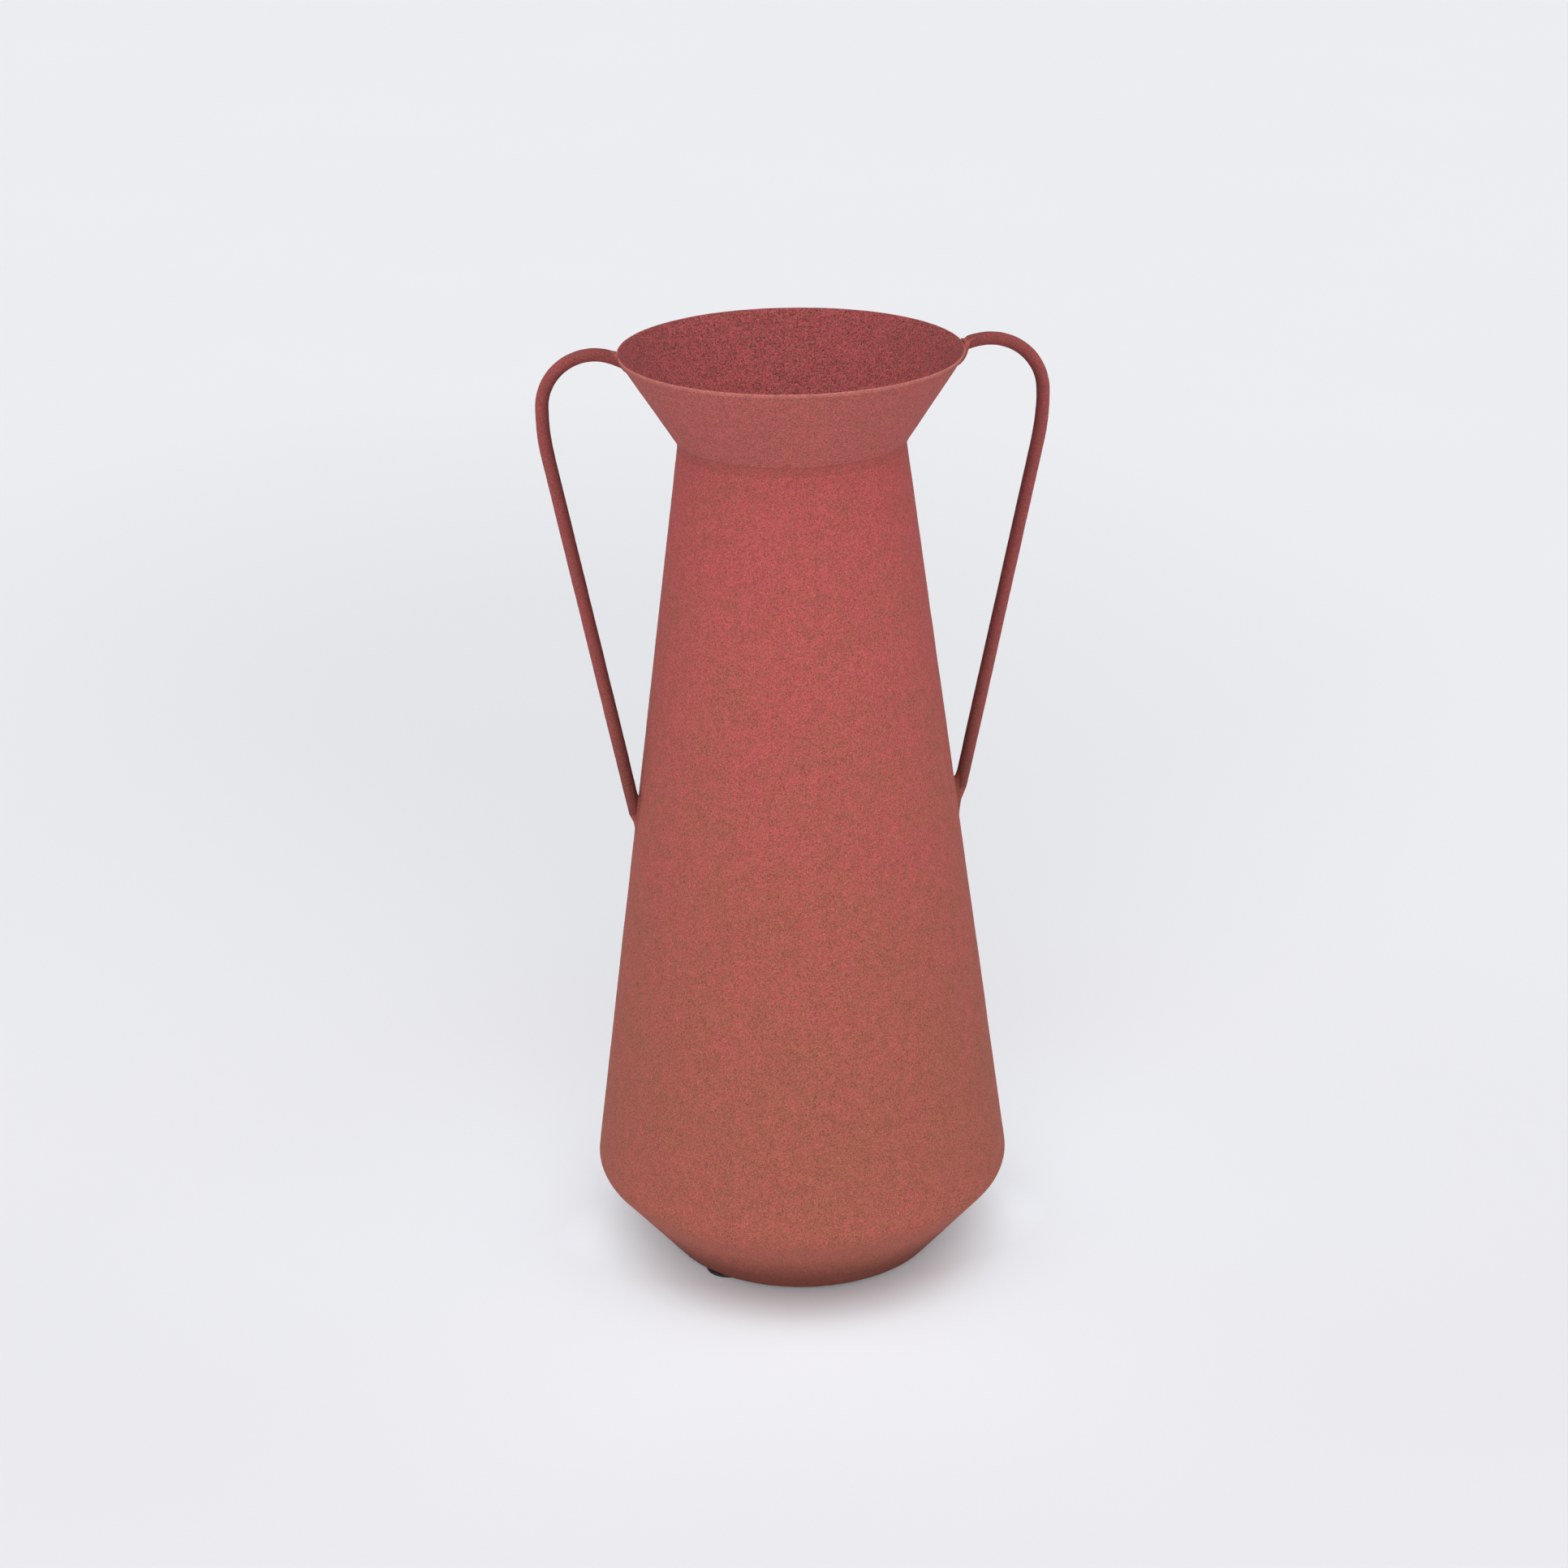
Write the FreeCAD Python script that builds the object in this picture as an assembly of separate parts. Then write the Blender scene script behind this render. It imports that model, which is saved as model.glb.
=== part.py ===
import FreeCAD, Part
import math
import os

# Two-handled metal amphora vase, in millimetres. +Z is up and Z = 0 is the surface it stands on.
# The Z axis is the vase's own axis, and the two rod handles lie in the XZ plane, left at -X.
# Heights below are measured from the underside of the base plate, which the pads lift off the ground.

# Foot pads
PAD_THICKNESS = 1.2
PAD_RADIUS = 10.0
PAD_PLACES = ((-136.5, 50.6), (-16.5, 48.6), (103.5, 48.8))  # angle round Z in degrees, distance from the axis

# Sheet-metal body: radii are those of the outer face
SHEET = 1.0
RIM_HEIGHT = 400.0
RIM_RADIUS = 71.2
NECK_HEIGHT = 362.1
NECK_RADIUS = 46.8
BELLY_HEIGHT = 36.4
BELLY_RADIUS = 90.3
BELLY_ROUNDING = 9.0
FOOT_RADIUS = 59.5
BELLY_SEAM_HEIGHT = 60.0

# Welds in the sheet
NECK_WELD_LEG = 3.0
GROOVE_DEPTH = 0.7
GROOVE_HALF_WIDTH = 0.8
GROOVE_OVERRUN = 4.0
BASE_GROOVE = 0.6
SIDE_SEAM_ANGLE = 90.0

# Handles: a round rod that leaves the rim rising outwards, goes through three bends that run
# into each other, and comes down straight, leaning inwards, to the body
ROD_RADIUS = 2.75
ROD_START_RADIUS = 70.5
ROD_START_HEIGHT = 398.8
ROD_TUCK = 6.0
LEFT_ROD = {
    "rise": 24.4,
    "first_bend": (29.3, 9.2),
    "main_radius": 21.2,
    "last_bend": (98.9, 12.5),
    "lean": 11.0,
    "end_height": 196.3,
}
RIGHT_ROD = {
    "rise": 22.2,
    "first_bend": (29.3, 19.8),
    "main_radius": 22.7,
    "last_bend": (97.8, 13.0),
    "lean": 11.8,
    "end_height": 198.8,
}

# Weld lumps: each is a cap of a ball, given by its height on the vase, how far it stands out
# from the sheet, and the radius of its rim on the sheet
LEFT_UPPER_LUMP = {"height": 396.2, "stand_out": 1.4, "reach": 4.2}
RIGHT_UPPER_LUMP = {"height": 394.0, "stand_out": 1.7, "reach": 5.4}
LEFT_LOWER_LUMP = {"height": 198.0, "stand_out": 3.0, "reach": 5.6}
RIGHT_LOWER_LUMP = {"height": 200.5, "stand_out": 3.0, "reach": 5.6}


def section_point(radius, height):
    """A point of the vase's half section, from its radius and its height above the base."""
    return FreeCAD.Vector(radius, 0, height + PAD_THICKNESS)


def unit(start, end):
    """Direction from start to end."""
    return (end - start).normalize()


def inward(direction):
    """Normal of a section line that is followed downwards, pointing into the vase."""
    return FreeCAD.Vector(direction.z, 0, -direction.x)


def line_at_height(start, end, height):
    """Point of a section line at a height above the base."""
    share = (height + PAD_THICKNESS - start.z) / (end.z - start.z)
    return start + (end - start) * share


def crossing(point_a, direction_a, point_b, direction_b):
    """Where two lines of the section cross."""
    across = direction_a.x * direction_b.z - direction_a.z * direction_b.x
    gap = point_b - point_a
    along = (gap.x * direction_b.z - gap.z * direction_b.x) / across
    return point_a + direction_a * along


def revolve(edges):
    """Solid made by turning a closed section about the vase's axis."""
    face = Part.Face(Part.Wire(edges))
    return face.revolve(FreeCAD.Vector(0, 0, 0), FreeCAD.Vector(0, 0, 1), 360)


def polygon(points):
    """Edges of a closed polygon."""
    following = points[1:] + points[:1]
    return [Part.LineSegment(start, end).toShape() for start, end in zip(points, following)]


def line(start, end):
    return Part.LineSegment(start, end).toShape()


def arc(start, middle, end):
    return Part.Arc(start, middle, end).toShape()


# Corners of the outer face and the directions of its three straight stretches, going down
RIM = section_point(RIM_RADIUS, RIM_HEIGHT)
NECK = section_point(NECK_RADIUS, NECK_HEIGHT)
BELLY = section_point(BELLY_RADIUS, BELLY_HEIGHT)
FOOT = section_point(FOOT_RADIUS, 0)
FUNNEL_DOWN = unit(RIM, NECK)
BODY_DOWN = unit(NECK, BELLY)
BOWL_DOWN = unit(BELLY, FOOT)

# The same corners on the inner face
NECK_INSIDE = crossing(
    NECK + inward(FUNNEL_DOWN) * SHEET, FUNNEL_DOWN, NECK + inward(BODY_DOWN) * SHEET, BODY_DOWN
)
FOOT_INSIDE = crossing(
    FOOT + inward(BOWL_DOWN) * SHEET, BOWL_DOWN, FOOT, FreeCAD.Vector(1, 0, 0)
)
SEAM = line_at_height(NECK, BELLY, BELLY_SEAM_HEIGHT)


def mouth_funnel():
    """Flared mouth: a cone of sheet whose free edge is rounded over."""
    to_inside = inward(FUNNEL_DOWN)
    outer_end = RIM + FUNNEL_DOWN * (SHEET / 2 * (1 + to_inside.z) / -FUNNEL_DOWN.z)
    inner_end = outer_end + to_inside * SHEET
    edge_top = outer_end + to_inside * (SHEET / 2) - FUNNEL_DOWN * (SHEET / 2)
    return revolve([
        line(NECK, outer_end),
        arc(outer_end, edge_top, inner_end),
        line(inner_end, NECK_INSIDE),
        line(NECK_INSIDE, NECK),
    ])


def body_cone():
    """Long straight cone, bevelled on the outside of its lower edge for the belly weld."""
    to_inside = inward(BODY_DOWN)
    return revolve(polygon([
        NECK,
        SEAM - BODY_DOWN * GROOVE_HALF_WIDTH,
        SEAM + to_inside * GROOVE_DEPTH,
        SEAM + to_inside * SHEET,
        NECK_INSIDE,
    ]))


def bottom_bowl():
    """Rounded shoulder and short inverted cone, with a bevelled upper edge and lower lip."""
    body_inside = inward(BODY_DOWN)
    bowl_inside = inward(BOWL_DOWN)
    half_angle = BODY_DOWN.getAngle(BOWL_DOWN) / 2
    tangent_length = BELLY_ROUNDING * math.tan(half_angle)
    upper_tangent = BELLY - BODY_DOWN * tangent_length
    lower_tangent = BELLY + BOWL_DOWN * tangent_length
    centre = upper_tangent + body_inside * BELLY_ROUNDING
    outwards = unit(centre, BELLY)
    inner_rounding = BELLY_ROUNDING - SHEET
    lip_end = FOOT_INSIDE + FreeCAD.Vector(BASE_GROOVE, 0, 0)
    lip_root = FOOT_INSIDE - BOWL_DOWN * BASE_GROOVE
    return revolve([
        line(SEAM + body_inside * GROOVE_DEPTH, SEAM + BODY_DOWN * GROOVE_HALF_WIDTH),
        line(SEAM + BODY_DOWN * GROOVE_HALF_WIDTH, upper_tangent),
        arc(upper_tangent, centre + outwards * BELLY_ROUNDING, lower_tangent),
        line(lower_tangent, FOOT),
        line(FOOT, lip_end),
        line(lip_end, lip_root),
        line(lip_root, lower_tangent + bowl_inside * SHEET),
        arc(
            lower_tangent + bowl_inside * SHEET,
            centre + outwards * inner_rounding,
            upper_tangent + body_inside * SHEET,
        ),
        line(upper_tangent + body_inside * SHEET, SEAM + body_inside * SHEET),
        line(SEAM + body_inside * SHEET, SEAM + body_inside * GROOVE_DEPTH),
    ])


def base_plate():
    """Flat disc inside the bowl's lip; its edge follows the lip, with a bevel for the base weld."""
    top_edge = FOOT_INSIDE - BOWL_DOWN * (SHEET / -BOWL_DOWN.z)
    root = FOOT_INSIDE - BOWL_DOWN * BASE_GROOVE
    under_edge = FOOT_INSIDE - FreeCAD.Vector(BASE_GROOVE, 0, 0)
    return revolve(polygon([
        FreeCAD.Vector(0, 0, under_edge.z),
        under_edge,
        root,
        top_edge,
        FreeCAD.Vector(0, 0, top_edge.z),
    ]))


def neck_seam_weld():
    """Weld ring that fills the crease between funnel and cone."""
    return revolve(polygon([
        NECK,
        NECK - FUNNEL_DOWN * NECK_WELD_LEG,
        NECK + BODY_DOWN * NECK_WELD_LEG,
    ]))


def belly_seam_weld():
    """Weld ring in the groove between cone and bowl, ground flush with the outer face."""
    return revolve(polygon([
        SEAM - BODY_DOWN * GROOVE_HALF_WIDTH,
        SEAM + inward(BODY_DOWN) * GROOVE_DEPTH,
        SEAM + BODY_DOWN * GROOVE_HALF_WIDTH,
    ]))


def base_seam_weld():
    """Weld ring in the groove between the base plate and the bowl's lip, flush underneath."""
    return revolve(polygon([
        FOOT_INSIDE - FreeCAD.Vector(BASE_GROOVE, 0, 0),
        FOOT_INSIDE + FreeCAD.Vector(BASE_GROOVE, 0, 0),
        FOOT_INSIDE - BOWL_DOWN * BASE_GROOVE,
    ]))


def side_groove(upper, lower):
    """V-shaped cutter along one line of a cone, where the rolled sheet's two edges meet."""
    down = unit(upper, lower)
    out = inward(down) * -GROOVE_DEPTH
    side = FreeCAD.Vector(0, 2 * GROOVE_HALF_WIDTH, 0)
    start = upper - down * GROOVE_OVERRUN
    section = Part.Face(Part.Wire(polygon([start - out, start + out + side, start + out - side])))
    cutter = section.extrude(lower - upper + down * (2 * GROOVE_OVERRUN))
    cutter.rotate(FreeCAD.Vector(0, 0, 0), FreeCAD.Vector(0, 0, 1), SIDE_SEAM_ANGLE)
    return cutter


def outer_space():
    """Everything inside the vase's outer face, with the mouth's flare carried on upwards.
    Rod ends and weld lumps are cut back to this surface."""
    above_rim = RIM - FUNNEL_DOWN * 20
    return revolve(polygon([
        FreeCAD.Vector(0, 0, FOOT.z),
        FOOT,
        BELLY,
        NECK,
        above_rim,
        FreeCAD.Vector(0, 0, above_rim.z),
    ]))


def rod_path(rod):
    """Centre line of a handle in the XZ plane, from just inside the funnel to the body."""
    angle = math.radians(rod["rise"])
    lean = math.radians(rod["lean"])
    first_radius, first_turn = rod["first_bend"]
    last_radius, last_turn = rod["last_bend"]
    main_turn = rod["rise"] + 90 + rod["lean"] - first_turn - last_turn
    heading = FreeCAD.Vector(math.cos(angle), 0, math.sin(angle))
    place = section_point(ROD_START_RADIUS, ROD_START_HEIGHT)
    edges = [line(place - heading * ROD_TUCK, place)]
    bends = ((first_radius, first_turn), (rod["main_radius"], main_turn), (last_radius, last_turn))
    for radius, turn in bends:
        points = [place]
        centre = place + FreeCAD.Vector(math.sin(angle), 0, -math.cos(angle)) * radius
        for share in (0.5, 1.0):
            turned = angle - math.radians(turn) * share
            points.append(centre + FreeCAD.Vector(-math.sin(turned), 0, math.cos(turned)) * radius)
        edges.append(arc(*points))
        place = points[-1]
        angle = turned
    drop = place.z - PAD_THICKNESS - rod["end_height"]
    edges.append(line(place, place + FreeCAD.Vector(-math.tan(lean), 0, -1) * drop))
    return Part.Wire(edges)


def full_rod(rod):
    """Round rod along its centre line, before its ends are cut to the vase."""
    path = rod_path(rod)
    first = path.Edges[0]
    start = first.Vertexes[0].Point
    circle = Part.Circle(start, first.tangentAt(first.FirstParameter), ROD_RADIUS).toShape()
    return path.makePipe(Part.Face(Part.Wire(circle)))


def handle(rod):
    """A handle at +X, cut to the outer face at both ends."""
    return full_rod(rod).cut(outer_space())


def weld_lump(lump, upper, lower, rod_solid):
    """Cap of a ball on the sheet between two corners of the section, clear of the sheet and rod."""
    place = line_at_height(upper, lower, lump["height"])
    ball_radius = (lump["reach"] ** 2 + lump["stand_out"] ** 2) / (2 * lump["stand_out"])
    centre = place + inward(unit(upper, lower)) * (ball_radius - lump["stand_out"])
    return Part.makeSphere(ball_radius, centre).cut(outer_space()).cut(rod_solid)


def to_left(shape):
    """The same shape turned round to the -X side."""
    turned = shape.copy()
    turned.rotate(FreeCAD.Vector(0, 0, 0), FreeCAD.Vector(0, 0, 1), 180)
    return turned


def foot_pads():
    """Thin round pads stuck under the base plate."""
    pads = []
    for angle, distance in PAD_PLACES:
        x = distance * math.cos(math.radians(angle))
        y = distance * math.sin(math.radians(angle))
        pads.append(Part.makeCylinder(PAD_RADIUS, PAD_THICKNESS, FreeCAD.Vector(x, y, 0)))
    return Part.makeCompound(pads)


def build():
    """All sub-parts by name."""
    whole_funnel = mouth_funnel()
    whole_cone = body_cone()
    funnel_groove = side_groove(RIM, NECK)
    cone_groove = side_groove(NECK, SEAM)
    left_rod = handle(LEFT_ROD)
    right_rod = handle(RIGHT_ROD)
    return {
        "mouth_funnel": whole_funnel.cut(funnel_groove),
        "body_cone": whole_cone.cut(cone_groove),
        "bottom_bowl": bottom_bowl(),
        "base_plate": base_plate(),
        "left_handle": to_left(left_rod),
        "right_handle": right_rod,
        "neck_seam_weld": neck_seam_weld(),
        "belly_seam_weld": belly_seam_weld(),
        "base_seam_weld": base_seam_weld(),
        "funnel_side_seam_weld": whole_funnel.common(funnel_groove),
        "body_side_seam_weld": whole_cone.common(cone_groove),
        "left_handle_upper_weld": to_left(weld_lump(LEFT_UPPER_LUMP, RIM, NECK, left_rod)),
        "right_handle_upper_weld": weld_lump(RIGHT_UPPER_LUMP, RIM, NECK, right_rod),
        "left_handle_lower_weld": to_left(weld_lump(LEFT_LOWER_LUMP, NECK, BELLY, left_rod)),
        "right_handle_lower_weld": weld_lump(RIGHT_LOWER_LUMP, NECK, BELLY, right_rod),
        "foot_pads": foot_pads(),
    }


os.makedirs("parts", exist_ok=True)
for name, shape in build().items():
    print(f"{name:26s} solids {len(shape.Solids)} valid {shape.isValid()} volume {shape.Volume:10.1f}")
    shape.exportStep(f"parts/{name}.step")
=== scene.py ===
import itertools
import math

import bpy
import numpy as np
from mathutils import Matrix, Vector


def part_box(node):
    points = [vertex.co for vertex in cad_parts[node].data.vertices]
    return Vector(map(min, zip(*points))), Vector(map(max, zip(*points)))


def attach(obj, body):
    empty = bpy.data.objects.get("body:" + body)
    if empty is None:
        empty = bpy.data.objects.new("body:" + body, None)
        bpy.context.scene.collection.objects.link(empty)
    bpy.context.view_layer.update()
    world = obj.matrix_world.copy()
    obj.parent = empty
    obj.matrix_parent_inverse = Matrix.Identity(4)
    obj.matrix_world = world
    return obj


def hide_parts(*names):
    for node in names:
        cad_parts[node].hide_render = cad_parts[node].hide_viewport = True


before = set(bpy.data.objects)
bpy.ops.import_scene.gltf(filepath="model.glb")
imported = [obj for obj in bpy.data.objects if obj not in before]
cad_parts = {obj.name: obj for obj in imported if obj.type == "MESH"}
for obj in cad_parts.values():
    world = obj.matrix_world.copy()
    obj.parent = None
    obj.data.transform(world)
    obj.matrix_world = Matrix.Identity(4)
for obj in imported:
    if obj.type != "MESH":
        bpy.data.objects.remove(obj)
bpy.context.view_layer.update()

# Looks of the two-handled metal amphora vase. Everything is in metres, in the frame of the CAD:
# +Z up, the vase's axis on Z, the handles in the XZ plane with the left one at -X.

MM = 0.001

# ---------------------------------------------------------------- sizes

# Outer face of the sheet, as radius and height; the base plate stands on the pads
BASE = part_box("foot_pads")[1].z
RIM = np.array([71.2 * MM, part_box("mouth_funnel")[1].z])
NECK = np.array([46.8 * MM, BASE + 362.1 * MM])
BELLY = np.array([90.3 * MM, BASE + 36.4 * MM])
FOOT = np.array([59.5 * MM, BASE])
SEAM_HEIGHT = BASE + 60.0 * MM
SHEET = 1.0 * MM
BELLY_ROUNDING = 9.0 * MM
FOOT_ROUNDING = 0.8 * MM / 3
NECK_WELD_LEG = 2.6 * MM
NECK_WELD_ROOT = 0.5 * MM
PAD_EDGE_ROUNDING = 0.2 * MM

# The mouth's flare is carried on above the rim, for the rods and welds to meet. Within RIM_EDGE
# of the rim, a weld ends on the middle of the sheet's edge instead of on its outer face.
FLARE_OVERRUN = 20 * MM
RIM_EDGE = 0.2 * MM

# Handles: bends are (radius in mm, turn in degrees), and the main bend makes up the rest of the
# turn. A rod starts ROD_TUCK inside the sheet and is followed ROD_OVERRUN past its lower end.
ROD_RADIUS = 2.75 * MM
ROD_START = np.array([70.5 * MM, BASE + 398.8 * MM])
ROD_TUCK = 7.0 * MM
ROD_OVERRUN = 14.0 * MM
LEFT_ROD = {
    "side": -1,
    "rise": 24.4,
    "first_bend": (29.3, 9.2),
    "main_radius": 21.2,
    "last_bend": (98.9, 12.5),
    "lean": 11.0,
    "end_height": BASE + 196.3 * MM,
}
RIGHT_ROD = {
    "side": 1,
    "rise": 22.2,
    "first_bend": (29.3, 19.8),
    "main_radius": 22.7,
    "last_bend": (97.8, 13.0),
    "lean": 11.8,
    "end_height": BASE + 198.8 * MM,
}

# Welds round the rod ends, in mm. The first of each pair is for the side of the rod that faces up
# or away from the vase, the second for the side that faces down or towards it. Leg is how far the
# weld runs along the rod, spread how far it runs out over the sheet, and bulge how far it stands
# out past a hollow fillet. An upper weld may stand proud of the rim, and may have a lump, given by
# its direction round the rod in degrees, its extra spread and its extra bulge. A lower end is
# ground back by cut_back; its weld meets the sheet at corner_drop and ends at end_drop below that.
LEFT_UPPER_WELD = {
    "leg": (0.3, 1.4), "spread": (0.5, 1.0), "bulge": (0.2, 0.5), "proud": 1.7,
}
RIGHT_UPPER_WELD = {
    "leg": (4.2, 0.4), "spread": (1.0, 3.4), "bulge": (0.3, 1.2), "proud": 0.5,
    "lump": (238, 2.9, 2.1),
}
LEFT_LOWER_WELD = {
    "leg": (0.3, 4.2), "spread": (1.2, 1.4), "bulge": (0.0, 0.1), "cut_back": 5.0,
    "corner_drop": 3.8, "end_drop": 8.0,
}
RIGHT_LOWER_WELD = {
    "leg": (0.5, 9.0), "spread": (1.2, 2.1), "bulge": (0.5, 0.3), "cut_back": 7.0,
    "corner_drop": 6.2, "end_drop": 12.6,
}

# A rod's weld starts a little under the rod's surface. Its root is inside the sheet, on a ring of
# a share of the rod's radius. Its own lumps come on top of the coat's relief.
ROD_WELD_SINK = 0.02 * MM
ROD_WELD_ROOT = 0.5 * MM
ROD_WELD_ROOT_SHARE = 0.8
ROD_WELD_SHIFT = 1.9
ROD_WELD_LUMP_SIZE = 2.2 * MM
ROD_WELD_LUMP_HEIGHT = 0.10 * MM

# How far along a rod the places are looked for where it meets the sheet
UPPER_END_REACH = 16 * MM
UPPER_WELD_REACH = 22 * MM
LOWER_END_REACH = 40 * MM
LOWER_WELD_REACH = 60 * MM

# The coat's relief: lumps as a shift of the noise, a size and a height. The grain may be stronger
# or weaker from piece to piece; the waves are the sheet's own.
GRAIN_LUMPS = ((0.0, 1.3 * MM, 0.035 * MM), (7.3, 2.9 * MM, 0.04 * MM))
WAVES = ((3.1, 11.0 * MM, 0.05 * MM), (5.7, 55.0 * MM, 0.12 * MM))
PIT_SPACING = 1.7 * MM
FUNNEL_INSIDE_GRAIN = 1.6
RIM_GRAIN = 0.8
ROD_GRAIN = 0.9
ROD_WELD_GRAIN = 1.2

# Mesh fineness
COLUMNS = 440
FUNNEL_ROW = 0.8 * MM
BODY_ROW = 1.6 * MM
BOWL_ROW = 1.0 * MM
INSIDE_ROW = 12.0 * MM
INSIDE_BEND_ROW = 2.0 * MM
LIP_STEPS = 12
INNER_LIP_STEPS = 4
NECK_WELD_STEPS = 8
SHARP_ANGLE = math.radians(45)
ROD_STEP = 0.55 * MM
ROD_SIDES = 32
ROD_CUT_ROWS = 12
ROD_WELD_ROWS = 9
MEETING_ROUNDS = 40

# ---------------------------------------------------------------- repeatable unevenness

LATTICE_SIZE = 64
LATTICE = np.random.default_rng(11).uniform(-1.0, 1.0, (LATTICE_SIZE,) * 3)


def smooth_noise(points, cell):
    """Smooth noise from -1 to 1 at each point, with lumps about one cell wide."""
    scaled = points / cell
    corner = np.floor(scaled).astype(int)
    share = scaled - corner
    share = share * share * (3 - 2 * share)
    total = np.zeros(points.shape[:-1])
    for step in itertools.product((0, 1), repeat=3):
        weight = np.prod(np.where(step, share, 1 - share), axis=-1)
        index = (corner + step) % LATTICE_SIZE
        total += weight * LATTICE[index[..., 0], index[..., 1], index[..., 2]]
    return total


def coat_height(points, grain):
    """How far the rough coat stands out at each point: grains, small lumps and slow waves."""
    height = 0.0
    for shift, size, lump in GRAIN_LUMPS:
        height = height + smooth_noise(points + shift, size) * lump * grain
    for shift, size, lump in WAVES:
        height = height + smooth_noise(points + shift, size) * lump
    return height


# ---------------------------------------------------------------- section geometry


def unit(start, end):
    """Direction from start to end."""
    return (end - start) / np.linalg.norm(end - start)


def inward(direction):
    """Normal of a section line followed downwards, pointing into the vase."""
    return np.array([direction[1], -direction[0]])


def crossing(point_a, direction_a, point_b, direction_b):
    """Where two section lines cross."""
    across = direction_a[0] * direction_b[1] - direction_a[1] * direction_b[0]
    gap = point_b - point_a
    return point_a + direction_a * (gap[0] * direction_b[1] - gap[1] * direction_b[0]) / across


def straight(start, end, step):
    """Evenly spaced points from start to end."""
    count = max(1, round(float(np.linalg.norm(end - start)) / step))
    return [start + (end - start) * k / count for k in range(count + 1)]


def rounded(before, corner, after, radius, step):
    """Evenly spaced points of a rounded corner, from one tangent point to the other."""
    to_before = unit(corner, before)
    to_after = unit(corner, after)
    half = math.acos(float(to_before @ to_after)) / 2
    middle = (to_before + to_after) / np.linalg.norm(to_before + to_after)
    centre = corner + middle * radius / math.sin(half)
    first = corner + to_before * radius / math.tan(half) - centre
    last = corner + to_after * radius / math.tan(half) - centre
    start_angle = math.atan2(first[1], first[0])
    turn = math.atan2(first[0] * last[1] - first[1] * last[0], float(first @ last))
    count = max(2, round(abs(turn) * radius / step))
    angles = [start_angle + turn * k / count for k in range(count + 1)]
    return [centre + np.array([math.cos(a), math.sin(a)]) * radius for a in angles]


FUNNEL_DOWN = unit(RIM, NECK)
BODY_DOWN = unit(NECK, BELLY)
BOWL_DOWN = unit(BELLY, FOOT)
NECK_INSIDE = crossing(
    NECK + inward(FUNNEL_DOWN) * SHEET, FUNNEL_DOWN, NECK + inward(BODY_DOWN) * SHEET, BODY_DOWN
)
BELLY_INSIDE = crossing(
    BELLY + inward(BODY_DOWN) * SHEET, BODY_DOWN, BELLY + inward(BOWL_DOWN) * SHEET, BOWL_DOWN
)
FOOT_INSIDE = crossing(
    FOOT + inward(BOWL_DOWN) * SHEET, BOWL_DOWN, FOOT, np.array([1.0, 0.0])
)
SEAM = NECK + BODY_DOWN * ((SEAM_HEIGHT - NECK[1]) / BODY_DOWN[1])
SEAM_INSIDE = SEAM + inward(BODY_DOWN) * SHEET
FLARE_TOP = RIM - FUNNEL_DOWN * FLARE_OVERRUN


def outer_radius(height):
    """Radius of the outer face at a height, with the mouth's flare carried on above the rim."""
    corners = [FOOT, BELLY, NECK, FLARE_TOP]
    return np.interp(height, [c[1] for c in corners], [c[0] for c in corners])


# ---------------------------------------------------------------- mesh helpers


def mesh_piece(name, points, faces, materials, material_of_face=None):
    """A smooth-shaded mesh object that rides on the vase."""
    mesh = bpy.data.meshes.new(name)
    mesh.from_pydata([tuple(p) for p in points], [], faces)
    mesh.polygons.foreach_set("use_smooth", [True] * len(mesh.polygons))
    for material in materials:
        mesh.materials.append(material)
    if material_of_face is not None:
        mesh.polygons.foreach_set("material_index", material_of_face)
    mesh.set_sharp_from_angle(angle=SHARP_ANGLE)
    mesh.update()
    piece = bpy.data.objects.new(name, mesh)
    bpy.context.scene.collection.objects.link(piece)
    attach(piece, "root")
    return piece


def grid_faces(rows, columns, close_rows):
    """Quads of a grid whose columns close on themselves, and whose rows may too."""
    faces = []
    for row in range(rows if close_rows else rows - 1):
        here = row * columns
        below = ((row + 1) % rows) * columns
        for column in range(columns):
            right = (column + 1) % columns
            faces.append((here + column, below + column, below + right, here + right))
    return faces


def lathe(name, parts, materials, grain):
    """Ring turned from a closed section. The section's parts run down the outside and up the
    inside, and each takes its own material and its own strength of grain."""
    section = np.concatenate([np.array(part) for part in parts])
    slopes = np.concatenate([np.gradient(np.array(part), axis=0) for part in parts])
    slopes /= np.linalg.norm(slopes, axis=1, keepdims=True)
    strength = np.concatenate([[g] * len(part) for g, part in zip(grain, parts)])
    angle = np.arange(COLUMNS) * 2 * math.pi / COLUMNS
    across = np.stack([np.cos(angle), np.sin(angle)], axis=-1)

    def spin(radial, vertical):
        level = np.repeat(vertical[:, None], COLUMNS, axis=1)[..., None]
        return np.concatenate([radial[:, None, None] * across[None], level], axis=-1)

    grid = spin(section[:, 0], section[:, 1])
    normal = spin(-slopes[:, 1], slopes[:, 0])
    grid = grid + normal * coat_height(grid, strength[:, None])[..., None]
    row_material = np.concatenate([[k] * len(part) for k, part in enumerate(parts)])
    faces = grid_faces(len(section), COLUMNS, True)
    face_material = np.repeat(np.minimum(row_material, len(materials) - 1), COLUMNS)
    return mesh_piece(name, grid.reshape(-1, 3), faces, materials, face_material.tolist())


# ---------------------------------------------------------------- materials


NOISE_RANGE = (0.3, 0.7)
PLAIN = (1, 1, 1, 1)


def add(tree, kind, **settings):
    """A shader node with its properties, and its sockets by name, set."""
    node = tree.nodes.new(kind)
    for key, value in settings.items():
        if key in node.inputs:
            node.inputs[key].default_value = value
        else:
            setattr(node, key, value)
    return node


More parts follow.
